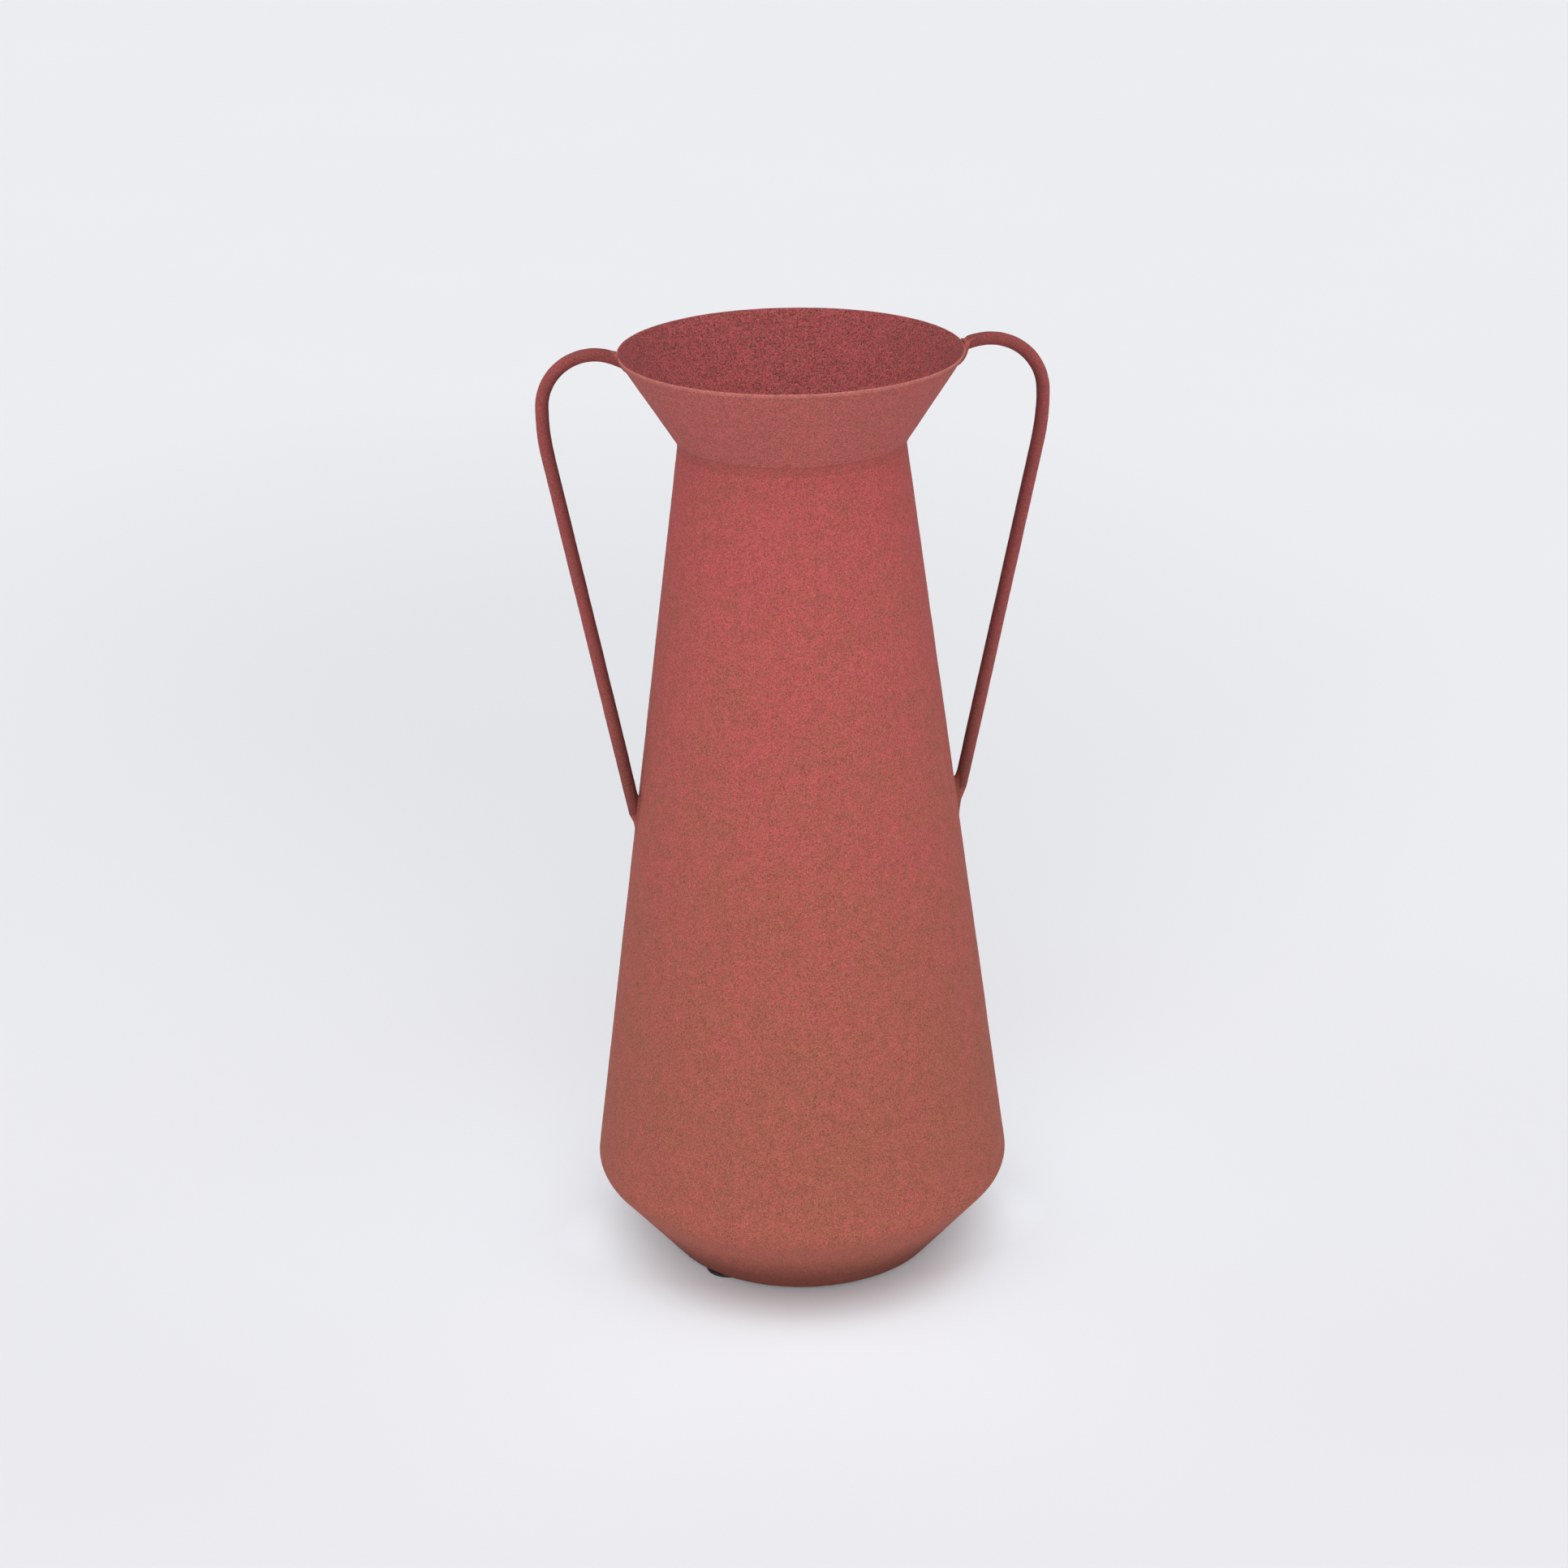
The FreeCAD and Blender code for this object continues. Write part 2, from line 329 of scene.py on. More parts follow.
def math_node(tree, operation, first, second):
    """A math node; each side is a socket or a number."""
    node = tree.nodes.new("ShaderNodeMath")
    node.operation = operation
    for socket, value in zip(node.inputs, (first, second)):
        if isinstance(value, (int, float)):
            socket.default_value = value
        else:
            tree.links.new(value, socket)
    return node.outputs["Value"]


def noise(tree, place, size, detail=2.0):
    """Noise with features about size across, from 0 to 1."""
    node = add(tree, "ShaderNodeTexNoise", Scale=1 / size, Detail=detail, Roughness=0.6)
    tree.links.new(place, node.inputs["Vector"])
    return node.outputs["Fac"]


def spread_out(tree, value, low, high, new_low, new_high):
    """The value, stretched from one range to another and held at its ends."""
    node = tree.nodes.new("ShaderNodeMapRange")
    for name, number in zip(("From Min", "From Max", "To Min", "To Max"),
                            (low, high, new_low, new_high)):
        node.inputs[name].default_value = number
    tree.links.new(value, node.inputs["Value"])
    return node.outputs["Result"]


def from_noise(tree, value, new_low, new_high):
    """A noise's value, stretched from the range that it mostly keeps to."""
    return spread_out(tree, value, *NOISE_RANGE, new_low, new_high)


def blend_colours(tree, share, first, second, mode="MIX"):
    """Two colours mixed; each is a socket or a colour."""
    node = tree.nodes.new("ShaderNodeMix")
    node.data_type = "RGBA"
    node.blend_type = mode
    node.clamp_result = False
    for socket, value in zip((node.inputs[0], node.inputs[6], node.inputs[7]),
                             (share, first, second)):
        if isinstance(value, (int, float, tuple)):
            socket.default_value = value
        else:
            tree.links.new(value, socket)
    return node.outputs[2]


# Tones on the vase between two heights: the share of brown in the coat, and the painted shade
# that darkens the coat towards the foot
BROWN_BY_HEIGHT = (0.10, 0.34, 0.85, 0.15)
PAINTED_SHADE_BY_HEIGHT = (0.010, 0.027, 0.59, 1.0)

# Soft patches and smaller blotches: their size, and how much brown or light they add
PATCHES = {"size": 26 * MM, "brown": 0.2}
BLOTCHES = {"size": 5 * MM, "brown": 0.18, "light": 0.2}

# Sizes of the tinted grains and the dust, as shares of the grain's, and how much dust and pits add
# to the relief of the grains
TINT_SIZE = 1.3
DUST_SIZE = 0.5
DUST_RELIEF = 0.6
PIT_RELIEF = 0.5

# How much a pit shows, in relief and in its painted shade, by a random number of its own and by
# the distance from its middle
PIT_LOT = (0.62, 0.95, 0.0, 0.8)
PIT_SHAPE = (0.08, 0.22, 1.0, 0.0)

COAT_ROUGHNESS = (0.78, 0.97)
COAT_GLOSS = 0.2
RELIEF_DEPTH = 0.2 * MM
SIDE_RANGE = 0.9


def painted_side_shading(tree, across, inner_painted_shade):
    """Painted shade and light on a handle: the given inner tone as painted shade where it faces the
    vase, and as much lighter as painted light where it faces away.
    """
    facing = tree.nodes.new("ShaderNodeSeparateXYZ")
    tree.links.new(tree.nodes.new("ShaderNodeTexCoord").outputs["Normal"], facing.inputs["Vector"])
    outer = math_node(tree, "MULTIPLY", facing.outputs["X"], math_node(tree, "SIGN", across, 0.0))
    return spread_out(tree, outer, -SIDE_RANGE, SIDE_RANGE, inner_painted_shade, 2 - inner_painted_shade)


def pitted(tree, place):
    """Small round pits, scattered over the coat: 0 beside them and up to 0.8 in them."""
    cells = add(tree, "ShaderNodeTexVoronoi", Scale=1 / PIT_SPACING)
    tree.links.new(place, cells.inputs["Vector"])
    lot = tree.nodes.new("ShaderNodeSeparateColor")
    tree.links.new(cells.outputs["Color"], lot.inputs["Color"])
    chosen = spread_out(tree, lot.outputs["Red"], *PIT_LOT)
    hole = spread_out(tree, cells.outputs["Distance"], *PIT_SHAPE)
    return math_node(tree, "MULTIPLY", chosen, hole)


def rough_coat(name, pink, brown, pit, grain_size, contrast, hue_contrast, bump,
               inner_painted_shade=1.0, painted_low_end=None):
    """Matt, sandy paint: pink and brown in soft patches and in single grains, browner towards the
    foot, with light and dark grains and small pits coloured darker as painted shade, and painted
    shade darkening it towards the foot. On a handle, the inner tone is painted shade on the side
    that faces the vase, and the side that faces away is as much lighter, as painted light. The
    low end's two heights and tone give painted shade below 1 and painted light above 1 at the
    lower height, fading out up to the higher one."""
    material = bpy.data.materials.new(name)
    material.use_nodes = True
    tree = material.node_tree
    tree.nodes.clear()
    place = tree.nodes.new("ShaderNodeTexCoord").outputs["Object"]
    patches = noise(tree, place, PATCHES["size"], 3.0)
    blotches = noise(tree, place, BLOTCHES["size"], 2.0)
    grains = noise(tree, place, grain_size, 2.0)
    tints = noise(tree, place, grain_size * TINT_SIZE, 2.0)
    dust = noise(tree, place, grain_size * DUST_SIZE, 1.0)
    split = tree.nodes.new("ShaderNodeSeparateXYZ")
    tree.links.new(place, split.inputs["Vector"])
    height = split.outputs["Z"]

    tone = spread_out(tree, height, *BROWN_BY_HEIGHT)
    for value, amount in (
        (patches, PATCHES["brown"]), (blotches, BLOTCHES["brown"]), (tints, hue_contrast)
    ):
        tone = math_node(tree, "ADD", tone, from_noise(tree, value, -amount, amount))
    colour = blend_colours(tree, tone, (*pink, 1), (*brown, 1))

    light = 1.0
    for value, amount in (
        (grains, contrast), (dust, contrast), (blotches, -contrast * BLOTCHES["light"])
    ):
        light = math_node(tree, "ADD", from_noise(tree, value, -amount, amount), light)
    # Painted shade: the coat is darker towards the foot
    light = math_node(tree, "MULTIPLY", light, spread_out(tree, height, *PAINTED_SHADE_BY_HEIGHT))
    # Painted shade at the lower end where its tone is below 1, painted light where it is above 1
    if painted_low_end is not None:
        low, high, factor = painted_low_end
        light = math_node(tree, "MULTIPLY", light, spread_out(tree, height, low, high, factor, 1.0))
    # Painted shade on the side of a handle that faces the vase, painted light on the side that
    # faces away
    if inner_painted_shade != 1.0:
        across = split.outputs["X"]
        light = math_node(tree, "MULTIPLY", light, painted_side_shading(tree, across, inner_painted_shade))
    grey = tree.nodes.new("ShaderNodeCombineColor")
    for socket in grey.inputs[:3]:
        tree.links.new(light, socket)
    colour = blend_colours(tree, 1.0, colour, grey.outputs["Color"], "MULTIPLY")
    # Painted shade: the small pits take the darker pit colour
    pits = pitted(tree, place)
    colour = blend_colours(tree, pits, colour, (*pit, 1))

    raised = math_node(tree, "ADD", grains, math_node(tree, "MULTIPLY", dust, DUST_RELIEF))
    raised = math_node(tree, "SUBTRACT", raised, math_node(tree, "MULTIPLY", pits, PIT_RELIEF))
    relief = add(tree, "ShaderNodeBump", Strength=bump, Distance=RELIEF_DEPTH)
    tree.links.new(raised, relief.inputs["Height"])

    shader = add(tree, "ShaderNodeBsdfPrincipled", Metallic=0.0)
    shader.inputs["Specular IOR Level"].default_value = COAT_GLOSS
    tree.links.new(colour, shader.inputs["Base Color"])
    tree.links.new(from_noise(tree, grains, *COAT_ROUGHNESS), shader.inputs["Roughness"])
    tree.links.new(relief.outputs["Normal"], shader.inputs["Normal"])
    output = tree.nodes.new("ShaderNodeOutputMaterial")
    tree.links.new(shader.outputs["BSDF"], output.inputs["Surface"])
    return material


def srgb(red, green, blue):
    """Linear colour of an sRGB one with parts from 0 to 255."""
    parts = [c / 255 for c in (red, green, blue)]
    return tuple(c / 12.92 if c <= 0.04045 else ((c + 0.055) / 1.055) ** 2.4 for c in parts)


# Each coat's pit colour is painted shade in its small pits
COAT = rough_coat(
    "coat_outside", pink=srgb(171, 79, 79), brown=srgb(150, 87, 70), pit=srgb(104, 48, 44),
    grain_size=0.8 * MM, contrast=0.25, hue_contrast=0.62, bump=0.45,
)
COAT_FUNNEL = rough_coat(
    "coat_funnel", pink=srgb(168, 85, 83), brown=srgb(155, 91, 77), pit=srgb(106, 50, 46),
    grain_size=0.8 * MM, contrast=0.27, hue_contrast=1.3, bump=0.5,
)
# The inside's coat, painted lighter below a band under the rim, as painted light
COAT_INSIDE = rough_coat(
    "coat_inside", pink=srgb(151, 69, 72), brown=srgb(130, 75, 67), pit=srgb(78, 32, 32),
    grain_size=0.9 * MM, contrast=0.40, hue_contrast=1.4, bump=0.7,
    painted_low_end=(RIM[1] - 26 * MM, RIM[1] - 6 * MM, 1.14),
)
COAT_EDGE = rough_coat(
    "coat_edge", pink=srgb(176, 101, 95), brown=srgb(166, 101, 87), pit=srgb(126, 64, 60),
    grain_size=0.8 * MM, contrast=0.2, hue_contrast=0.8, bump=0.4,
)
# The handles' coat: painted shade on the inner sides and towards the lower ends, painted light on
# the outer sides
COAT_ROD = rough_coat(
    "coat_rod", pink=srgb(130, 61, 61), brown=srgb(118, 69, 59), pit=srgb(84, 38, 34),
    grain_size=0.7 * MM, contrast=0.2, hue_contrast=0.8, bump=0.45,
    inner_painted_shade=0.62, painted_low_end=(0.19, 0.25, 0.68),
)
COAT_WELD = rough_coat(
    "coat_weld", pink=srgb(160, 76, 74), brown=srgb(146, 84, 70), pit=srgb(100, 46, 42),
    grain_size=0.8 * MM, contrast=0.22, hue_contrast=1.0, bump=0.5,
)
COAT_UPPER_WELD = rough_coat(
    "coat_upper_weld", pink=srgb(149, 73, 71), brown=srgb(138, 79, 67), pit=srgb(92, 42, 38),
    grain_size=0.8 * MM, contrast=0.22, hue_contrast=0.8, bump=0.5,
)
# A darker copy of the weld coat for the handles' lower welds, as painted shade in the crotch, with
# painted shade on the side that faces the vase and painted light on the side that faces away
COAT_LOWER_WELD_SHADED = rough_coat(
    "coat_lower_weld_shaded", pink=srgb(143, 68, 66), brown=srgb(131, 76, 64), pit=srgb(90, 42, 38),
    grain_size=0.8 * MM, contrast=0.22, hue_contrast=0.8, bump=0.5, inner_painted_shade=0.8,
)


RUBBER_GRAIN = 0.6 * MM
RUBBER_RELIEF = 0.1 * MM
RUBBER_ROUGHNESS = (0.6, 0.85)


def rubber(name):
    """Dull black rubber with a fine speckle."""
    material = bpy.data.materials.new(name)
    material.use_nodes = True
    tree = material.node_tree
    tree.nodes.clear()
    place = tree.nodes.new("ShaderNodeTexCoord").outputs["Object"]
    speckle = noise(tree, place, RUBBER_GRAIN)
    colour = blend_colours(tree, speckle, (*srgb(18, 18, 20), 1), (*srgb(44, 42, 44), 1))
    shader = tree.nodes.new("ShaderNodeBsdfPrincipled")
    relief = add(tree, "ShaderNodeBump", Strength=0.2, Distance=RUBBER_RELIEF)
    tree.links.new(speckle, relief.inputs["Height"])
    tree.links.new(colour, shader.inputs["Base Color"])
    tree.links.new(from_noise(tree, speckle, *RUBBER_ROUGHNESS), shader.inputs["Roughness"])
    tree.links.new(relief.outputs["Normal"], shader.inputs["Normal"])
    output = tree.nodes.new("ShaderNodeOutputMaterial")
    tree.links.new(shader.outputs["BSDF"], output.inputs["Surface"])
    return material


PAD_RUBBER = rubber("pad_rubber")

# ---------------------------------------------------------------- sheet shells

# Mouth funnel, whose free edge is rounded over
to_inside = inward(FUNNEL_DOWN)
lip_outer = RIM + FUNNEL_DOWN * (SHEET / 2 * (1 + to_inside[1]) / -FUNNEL_DOWN[1])
lip_inner = lip_outer + to_inside * SHEET
lip_middle = (lip_outer + lip_inner) / 2
lip = [
    lip_middle + (to_inside * math.cos(a) - FUNNEL_DOWN * math.sin(a)) * SHEET / 2
    for a in (math.pi * k / LIP_STEPS for k in range(LIP_STEPS + 1))
]
funnel = lathe(
    "funnel_coated",
    [
        straight(lip_outer, NECK, FUNNEL_ROW)[1:],
        straight(NECK_INSIDE, lip_inner, FUNNEL_ROW)[:-1],
        lip[:INNER_LIP_STEPS],
        lip[INNER_LIP_STEPS:],
    ],
    [COAT_FUNNEL, COAT_INSIDE, COAT_INSIDE, COAT_EDGE],
    [1.0, FUNNEL_INSIDE_GRAIN, 1.0, RIM_GRAIN],
)
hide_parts("mouth_funnel", "funnel_side_seam_weld")

# Long body cone
body = lathe(
    "body_coated",
    [straight(NECK, SEAM, BODY_ROW), straight(SEAM_INSIDE, NECK_INSIDE, INSIDE_ROW)],
    [COAT, COAT_INSIDE],
    [1.0, 0.0],
)
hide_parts("body_cone", "body_side_seam_weld")

# Bottom bowl: rounded shoulder, inverted cone, softened foot
shoulder = rounded(SEAM, BELLY, FOOT, BELLY_ROUNDING, BOWL_ROW)
foot_corner = rounded(BELLY, FOOT, FOOT_INSIDE, FOOT_ROUNDING, FOOT_ROUNDING / 2)
bowl_outside = (
    straight(SEAM, shoulder[0], BOWL_ROW)[:-1]
    + shoulder
    + straight(shoulder[-1], foot_corner[0], BOWL_ROW)[1:-1]
    + foot_corner
)
inner_shoulder = rounded(
    FOOT_INSIDE, BELLY_INSIDE, SEAM_INSIDE, BELLY_ROUNDING - SHEET, INSIDE_BEND_ROW
)
bowl_inside = (
    straight(FOOT_INSIDE, inner_shoulder[0], INSIDE_ROW)[:-1]
    + inner_shoulder
    + straight(inner_shoulder[-1], SEAM_INSIDE, INSIDE_ROW)[1:]
)
bowl = lathe("bowl_coated", [bowl_outside, bowl_inside], [COAT, COAT_INSIDE], [1.0, 0.0])
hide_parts("bottom_bowl", "belly_seam_weld")

# Weld in the crease of the neck: a small hollow fillet
weld_top = NECK - FUNNEL_DOWN * NECK_WELD_LEG
weld_bottom = NECK + BODY_DOWN * NECK_WELD_LEG
weld_face = [
    weld_top * (1 - u) ** 2 + NECK * 2 * u * (1 - u) + weld_bottom * u ** 2
    for u in (k / NECK_WELD_STEPS for k in range(NECK_WELD_STEPS + 1))
]
weld_root = NECK + unit(NECK, NECK_INSIDE) * NECK_WELD_ROOT
neck_weld = lathe(
    "neck_weld_coated",
    [weld_face, [weld_bottom + inward(BODY_DOWN) * NECK_WELD_ROOT, weld_root,
                 weld_top + inward(FUNNEL_DOWN) * NECK_WELD_ROOT]],
    [COAT_WELD],
    [1.0, 0.0],
)
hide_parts("neck_seam_weld")

# ---------------------------------------------------------------- handles


def rod_line(rod):
    """Centre line of a handle in its own plane: points and headings at even steps along it, and
    the length along it at which the rod really ends."""
    angle = math.radians(rod["rise"])
    first_radius, first_turn = rod["first_bend"]
    last_radius, last_turn = rod["last_bend"]
    main_turn = rod["rise"] + 90 + rod["lean"] - first_turn - last_turn
    heading = np.array([math.cos(angle), math.sin(angle)])
    place = ROD_START - heading * ROD_TUCK
    stretches = [(ROD_TUCK, 0.0)]
    for radius, turn in ((first_radius, first_turn), (rod["main_radius"], main_turn),
                         (last_radius, last_turn)):
        stretches.append((radius * MM * math.radians(turn), math.radians(turn)))
    for length, turn in stretches:
        chord = length if turn == 0 else 2 * length / turn * math.sin(turn / 2)
        middle = angle - turn / 2
        place = place + np.array([math.cos(middle), math.sin(middle)]) * chord
        angle -= turn
    straight_length = (place[1] - rod["end_height"]) / -math.sin(angle)
    end = sum(length for length, turn in stretches) + straight_length
    stretches.append((straight_length + ROD_OVERRUN, 0.0))

    angle = math.radians(rod["rise"])
    place = ROD_START - heading * ROD_TUCK
    places, angles, lengths, along = [place], [angle], [0.0], 0.0
    for length, turn in stretches:
        count = round(length / ROD_STEP)
        for _ in range(count):
            middle = angle - turn / count / 2
            place = place + np.array([math.cos(middle), math.sin(middle)]) * length / count
            angle -= turn / count
            along += length / count
            places.append(place)
            angles.append(angle)
            lengths.append(along)
    return np.array(places), np.array(angles), np.array(lengths), end


ROD_TURN = np.arange(ROD_SIDES) * 2 * math.pi / ROD_SIDES


def rod_surface(line, along, radius):
    """Points round the rod at the lengths along it, from the rod's upper or outer side on."""
    places, angles, lengths, _ = line
    x = np.interp(along, lengths, places[:, 0])
    z = np.interp(along, lengths, places[:, 1])
    angle = np.interp(along, lengths, angles)
    return np.stack([
        x - np.sin(angle) * np.cos(ROD_TURN) * radius,
        np.sin(ROD_TURN) * radius,
        z + np.cos(angle) * np.cos(ROD_TURN) * radius,
    ], axis=-1)


def stand_off(points):
    """How far points are outside the sheet's outer face, measured level."""
    return np.hypot(points[..., 0], points[..., 1]) - outer_radius(points[..., 2])


def where_it_meets(line, radius, inside, outside):
    """Length along the rod at which each line along its surface crosses the outer face."""
    inside = np.full(ROD_SIDES, inside)
    outside = np.full(ROD_SIDES, outside)
    for _ in range(MEETING_ROUNDS):
        middle = (inside + outside) / 2
        hidden = stand_off(rod_surface(line, middle, radius)) < 0
        inside = np.where(hidden, middle, inside)
        outside = np.where(hidden, outside, middle)
    return (inside + outside) / 2


def onto_sheet(points, proud):
    """The same points moved level onto the outer face, or above the middle of the rim's edge by
    at most the height proud."""
    height = np.minimum(points[..., 2], RIM[1] + proud)
    radius = outer_radius(np.minimum(height, RIM[1]))
    radius -= np.where(height > RIM[1] - RIM_EDGE, SHEET / 2, 0)
    x = np.sqrt(np.maximum(radius ** 2 - points[..., 1] ** 2, 0))
    return np.stack([x, points[..., 1], height], axis=-1)


def turned(points, side):
    """Points of a handle at +X, turned half round to -X if that is its side."""
    return points * np.array([side, side, 1])


def rod_weld(name, rod, line, weld, upper, node):
    """Weld round one end of a rod, from the rod's surface down onto the sheet."""
    _, _, lengths, end = line
    share = (1 + np.cos(ROD_TURN)) / 2
    leg, spread, bulge = (
        (weld[key][0] * share + weld[key][1] * (1 - share)) * MM
        for key in ("leg", "spread", "bulge")
    )
    if "lump" in weld:
        middle, extra_spread, extra_bulge = weld["lump"]
        weight = np.maximum(np.cos(ROD_TURN - math.radians(middle)), 0) ** 2
        spread = spread + extra_spread * MM * weight
        bulge = bulge + extra_bulge * MM * weight
    if upper:
        meets = where_it_meets(line, ROD_RADIUS, 0.0, UPPER_WELD_REACH)
        far = where_it_meets(line, ROD_RADIUS + spread, 0.0, UPPER_WELD_REACH)
        on_rod = meets + leg
    else:
        end -= weld["cut_back"] * MM
        meets = np.minimum(
            where_it_meets(line, ROD_RADIUS, lengths[-1], end - LOWER_END_REACH),
            end + weld["corner_drop"] * MM,
        )
        far = np.minimum(
            where_it_meets(line, ROD_RADIUS + spread, lengths[-1], end - LOWER_WELD_REACH),
            end + weld["end_drop"] * MM,
        )
        on_rod = np.minimum(meets - leg, end)
    proud = weld.get("proud", 0.0) * MM
    start = rod_surface(line, on_rod, ROD_RADIUS - ROD_WELD_SINK)
    corner = onto_sheet(rod_surface(line, meets, ROD_RADIUS), proud)
    finish = onto_sheet(rod_surface(line, far, ROD_RADIUS + spread), proud)
    from_rod = (rod_surface(line, meets, ROD_RADIUS) - rod_surface(line, meets, 0.0)) / ROD_RADIUS
    from_sheet = -inward(FUNNEL_DOWN if upper else BODY_DOWN)
    out = from_rod + np.array([from_sheet[0], 0, from_sheet[1]])
    out /= np.linalg.norm(out, axis=-1, keepdims=True)
    rows = []
    for u in (k / (ROD_WELD_ROWS - 1) for k in range(ROD_WELD_ROWS)):
        row = start * (1 - u) ** 2 + corner * 2 * u * (1 - u) + finish * u ** 2
        rows.append(row + out * (bulge * math.sin(math.pi * u))[:, None])
    rows = np.array(rows)
    lumps = smooth_noise(rows + ROD_WELD_SHIFT, ROD_WELD_LUMP_SIZE) * ROD_WELD_LUMP_HEIGHT
    lumps = lumps + coat_height(rows, ROD_WELD_GRAIN)
    fade = np.sin(np.linspace(0, math.pi, ROD_WELD_ROWS))[:, None]
    rows = rows + out * (lumps * fade)[..., None]
    deep = rod_surface(line, meets, ROD_RADIUS * ROD_WELD_ROOT_SHARE)
    deep = deep - np.array([ROD_WELD_ROOT, 0, 0])
    grid = turned(np.concatenate([rows, deep[None]]), rod["side"])
    piece = mesh_piece(
        name, grid.reshape(-1, 3), grid_faces(len(grid), ROD_SIDES, True),
        [COAT_UPPER_WELD if upper else COAT_LOWER_WELD_SHADED],
    )
    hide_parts(node)


def rod_piece(name, rod, line, cut_back, node):
    """The bent rod itself, cut to the outer face at both ends and closed there."""
    _, _, lengths, end = line
    end -= cut_back * MM
    top = where_it_meets(line, ROD_RADIUS, 0.0, UPPER_END_REACH)
    bottom = where_it_meets(line, ROD_RADIUS, lengths[-1], end - LOWER_END_REACH)
    bottom = np.minimum(bottom, end)
    first_full = top.max() + ROD_STEP
    last_full = bottom.min() - ROD_STEP
    middle = np.linspace(first_full, last_full, round((last_full - first_full) / ROD_STEP))
    rows = [top + (first_full - top) * k / ROD_CUT_ROWS for k in range(ROD_CUT_ROWS)]
    rows += [np.full(ROD_SIDES, along) for along in middle]
    rows += [
        last_full + (bottom - last_full) * k / ROD_CUT_ROWS for k in range(1, ROD_CUT_ROWS + 1)
    ]
    grid = np.array([rod_surface(line, row, ROD_RADIUS) for row in rows])
    centre = np.array([rod_surface(line, row, 0.0) for row in rows])
    out = (grid - centre) / ROD_RADIUS
    grid = grid + out * coat_height(grid, ROD_GRAIN)[..., None]
    grid = turned(grid, rod["side"])
    points = grid.reshape(-1, 3)
    faces = grid_faces(len(grid), ROD_SIDES, False)
    faces.append(tuple(range(ROD_SIDES)))
    faces.append(tuple(len(points) - 1 - k for k in range(ROD_SIDES)))
    piece = mesh_piece(name, points, faces, [COAT_ROD])
    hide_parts(node)


for side, rod, upper_weld, lower_weld in (
    ("left", LEFT_ROD, LEFT_UPPER_WELD, LEFT_LOWER_WELD),
    ("right", RIGHT_ROD, RIGHT_UPPER_WELD, RIGHT_LOWER_WELD),
):
    line = rod_line(rod)
    rod_piece(f"{side}_handle_coated", rod, line, lower_weld["cut_back"], f"{side}_handle")
    rod_weld(f"{side}_upper_weld_coated", rod, line, upper_weld, True,
             f"{side}_handle_upper_weld")
    rod_weld(f"{side}_lower_weld_coated", rod, line, lower_weld, False,
             f"{side}_handle_lower_weld")

# ---------------------------------------------------------------- base

for node, material in (
    ("base_plate", COAT),
    ("base_seam_weld", COAT_WELD),
    ("foot_pads", PAD_RUBBER),
):
    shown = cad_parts[node]
    shown.data.materials.clear()
    shown.data.materials.append(material)
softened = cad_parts["foot_pads"].modifiers.new("softened_edges", "BEVEL")
softened.width = PAD_EDGE_ROUNDING
softened.segments = 2

# ---------------------------------------------------------------- floor, light and camera


# The floor is painted lighter round the vase, as painted light over the vase's shadow, and most of
# all close beside the foot; behind the vase a painted shadow makes it a little duller. Each range
# is in metres from a centre, with the axes stretched.
FLOOR_COLOURS = ((0.722, 0.732, 0.757, 1), (0.738, 0.744, 0.770, 1))
FLOOR_PATCH_SIZE = 0.4
PAINTED_LIGHT_AROUND = {"stretch": (0.72, 1, 1), "range": (0.07, 0.42), "gain": (1.235, 1.295, 1.31, 1)}
PAINTED_LIGHT_FALL = 4.5
PAINTED_LIGHT_BESIDE = {"stretch": (0.5, 1, 1), "range": (0.03, 0.055), "gain": (1.17, 1.21, 1.23, 1)}
PAINTED_SHADOW_BEHIND = {"stretch": (1, 0.85, 1), "range": (0.12, 0.6), "colour": (0.675, 0.688, 0.712, 1)}
FOOT_PLACE = (0, 0, 0)
PAINTED_SHADOW_PLACE = (-0.08, 0.75, 0)


def vector_node(tree, operation, value, other=None):
    """A vector math node; the other side, if it has one, is a plain vector."""
    node = tree.nodes.new("ShaderNodeVectorMath")
    node.operation = operation
    tree.links.new(value, node.inputs[0])
    if other is not None:
        node.inputs[1].default_value = other
    return node


def nearness(tree, place, centre, area):
    """1 near a centre and 0 far from it."""
    offset = vector_node(tree, "SUBTRACT", place, centre).outputs["Vector"]
    scaled = vector_node(tree, "MULTIPLY", offset, area["stretch"]).outputs["Vector"]
    distance = vector_node(tree, "LENGTH", scaled).outputs["Value"]
    return spread_out(tree, distance, *area["range"], 1.0, 0.0)


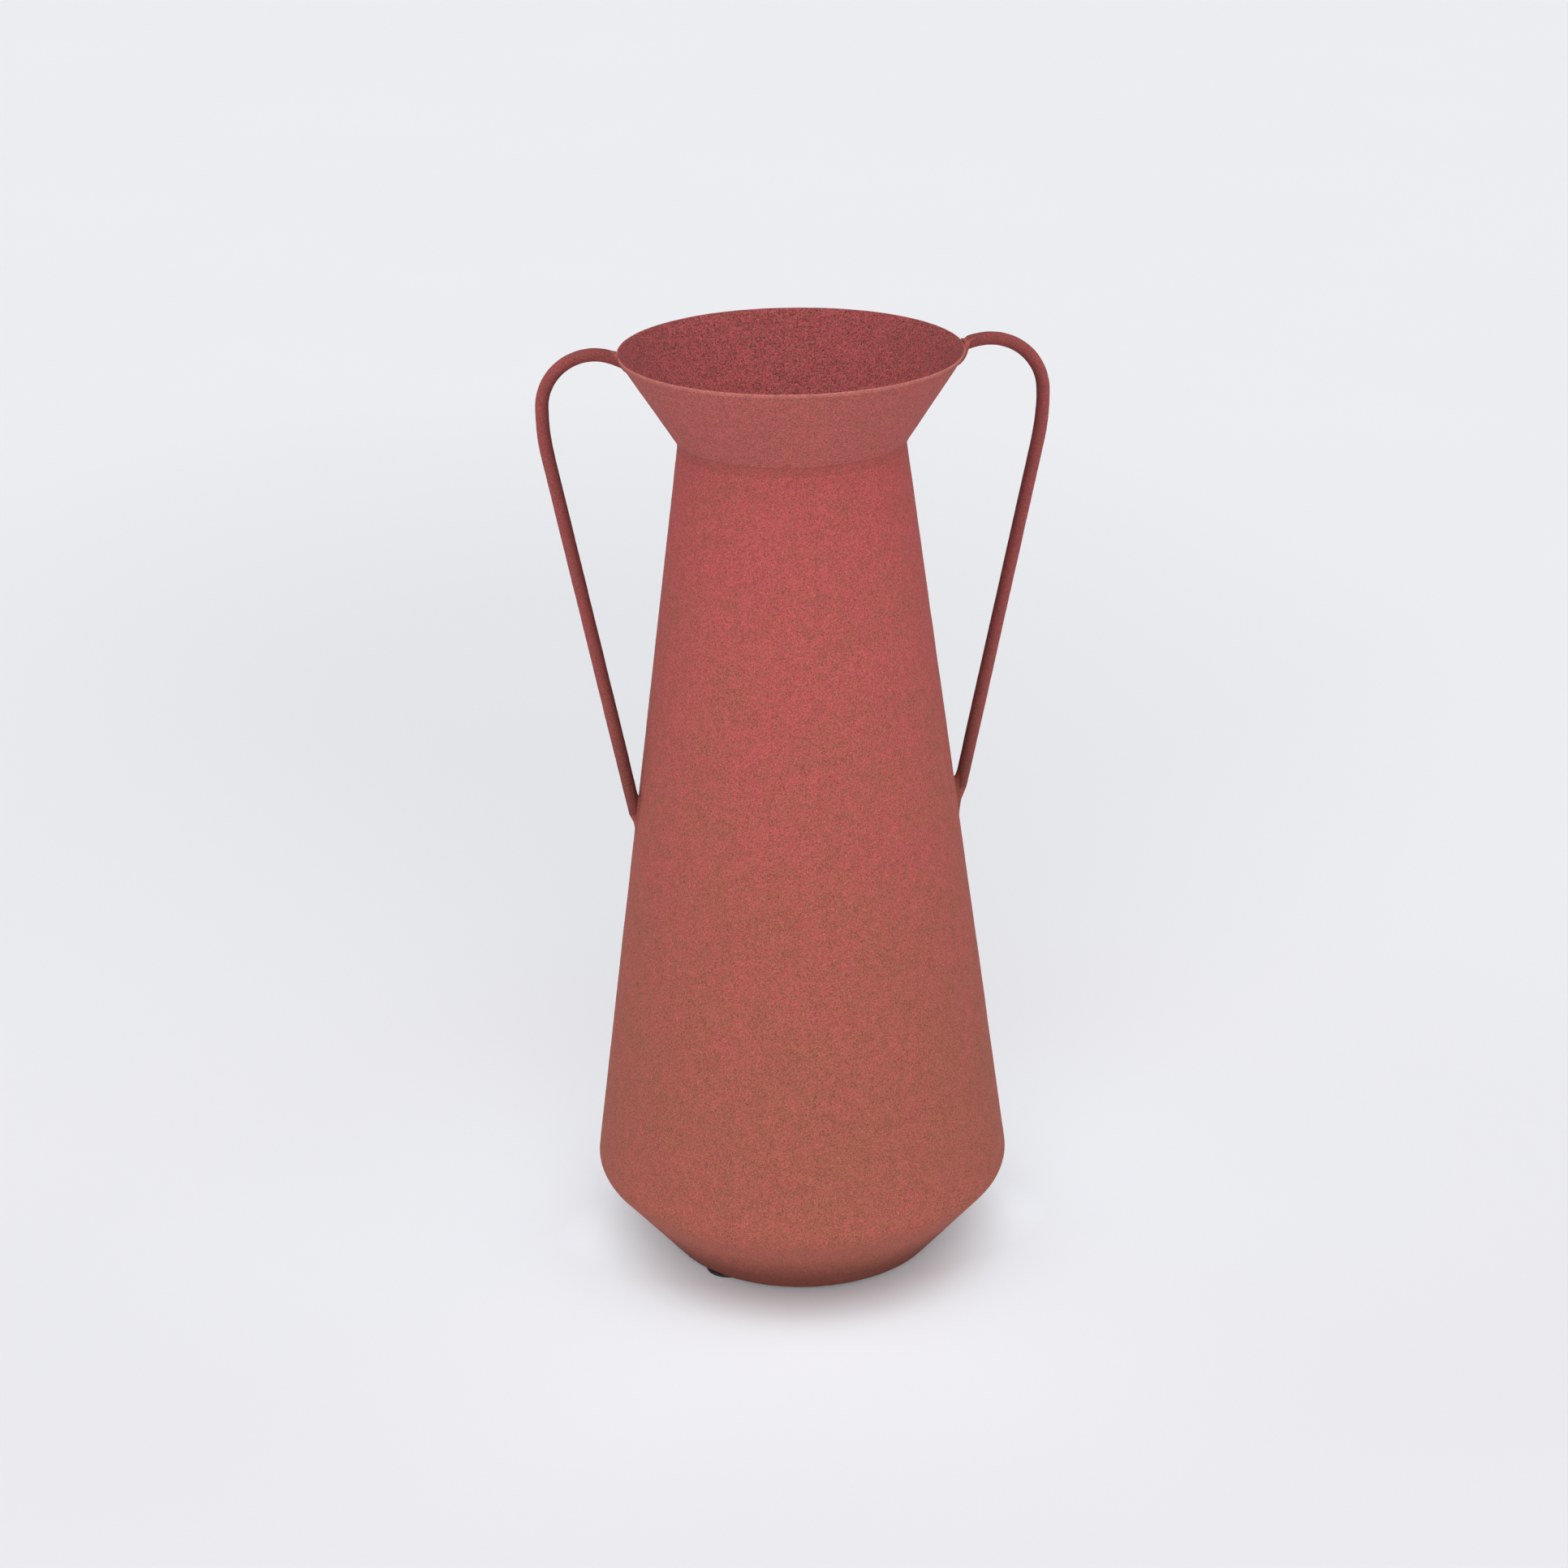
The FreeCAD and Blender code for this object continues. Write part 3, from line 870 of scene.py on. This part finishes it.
def floor_material():
    """Pale, slightly uneven paper, with painted light round the vase and a painted shadow behind
    it.
    """
    material = bpy.data.materials.new("pale_floor")
    material.use_nodes = True
    tree = material.node_tree
    shader = tree.nodes["Principled BSDF"]
    place = tree.nodes.new("ShaderNodeTexCoord").outputs["Object"]
    colour = blend_colours(tree, noise(tree, place, FLOOR_PATCH_SIZE), *FLOOR_COLOURS)
    # Painted light: the floor is lighter round the foot, and most of all close beside it
    around = nearness(tree, place, FOOT_PLACE, PAINTED_LIGHT_AROUND)
    around = math_node(tree, "POWER", around, PAINTED_LIGHT_FALL)
    painted_light = blend_colours(tree, around, PLAIN, PAINTED_LIGHT_AROUND["gain"])
    beside = nearness(tree, place, FOOT_PLACE, PAINTED_LIGHT_BESIDE)
    beside = blend_colours(tree, beside, PLAIN, PAINTED_LIGHT_BESIDE["gain"])
    painted_light = blend_colours(tree, 1.0, painted_light, beside, "MULTIPLY")
    # Painted shadow: the floor is a little duller behind the vase
    behind = nearness(tree, place, PAINTED_SHADOW_PLACE, PAINTED_SHADOW_BEHIND)
    colour = blend_colours(tree, behind, colour, PAINTED_SHADOW_BEHIND["colour"])
    colour = blend_colours(tree, 1.0, colour, painted_light, "MULTIPLY")
    tree.links.new(colour, shader.inputs["Base Color"])
    shader.inputs["Roughness"].default_value = 0.9
    shader.inputs["Specular IOR Level"].default_value = 0.1
    return material


FLOOR_HALF = 12.0
floor_mesh = bpy.data.meshes.new("floor")
floor_mesh.from_pydata(
    [(-FLOOR_HALF, -FLOOR_HALF, 0), (FLOOR_HALF, -FLOOR_HALF, 0),
     (FLOOR_HALF, FLOOR_HALF, 0), (-FLOOR_HALF, FLOOR_HALF, 0)],
    [], [(0, 1, 2, 3)],
)
floor_mesh.materials.append(floor_material())
floor = bpy.data.objects.new("floor", floor_mesh)
bpy.context.scene.collection.objects.link(floor)

world = bpy.data.worlds.new("studio")
world.use_nodes = True
background = world.node_tree.nodes["Background"]
background.inputs["Color"].default_value = (0.97, 0.98, 1.0, 1)
background.inputs["Strength"].default_value = 0.6
bpy.context.scene.world = world


def broad_light(name, azimuth, elevation, spread, strength, colour):
    """Light of a far, broad softbox: its direction and its width in degrees as seen from the
    vase. Azimuth 0 is in front and 90 on the right."""
    data = bpy.data.lights.new(name, "SUN")
    data.angle = math.radians(spread)
    data.energy = strength
    data.color = colour
    light = bpy.data.objects.new(name, data)
    turn, rise = math.radians(azimuth), math.radians(elevation)
    towards = Vector(
        (math.sin(turn) * math.cos(rise), -math.cos(turn) * math.cos(rise), math.sin(rise))
    )
    light.rotation_mode = "QUATERNION"
    light.rotation_quaternion = (-towards).to_track_quat("-Z", "Y")
    bpy.context.scene.collection.objects.link(light)


NEUTRAL = (1.0, 0.99, 0.98)
WARM = (1.0, 0.98, 0.96)
broad_light("overhead", azimuth=0, elevation=80, spread=56, strength=0.91, colour=NEUTRAL)
broad_light("left", azimuth=-100, elevation=48, spread=50, strength=0.36, colour=NEUTRAL)
broad_light("right", azimuth=92, elevation=48, spread=50, strength=0.36, colour=NEUTRAL)
broad_light("front", azimuth=-6, elevation=11, spread=60, strength=1.60, colour=WARM)

CAMERA_DISTANCE = 1.3551
CAMERA_HEIGHT = 0.7501
VIEW_TURN = math.radians(6.5)
PAN = math.radians(0.235)
PITCH = math.radians(21.674)
ROLL = math.radians(-0.910)
LENS = 78.627
SENSOR_WIDTH = 36.0
camera_data = bpy.data.cameras.new("camera")
camera_data.lens = LENS
camera_data.sensor_width = SENSOR_WIDTH
camera = bpy.data.objects.new("camera", camera_data)
camera.matrix_world = (
    Matrix.Translation((
        -CAMERA_DISTANCE * math.sin(VIEW_TURN),
        -CAMERA_DISTANCE * math.cos(VIEW_TURN),
        CAMERA_HEIGHT,
    ))
    @ Matrix.Rotation(PAN - VIEW_TURN, 4, "Z")
    @ Matrix.Rotation(math.pi / 2 - PITCH, 4, "X")
    @ Matrix.Rotation(ROLL, 4, "Z")
)
bpy.context.scene.collection.objects.link(camera)
bpy.context.scene.camera = camera
bpy.context.scene.view_settings.view_transform = "Standard"
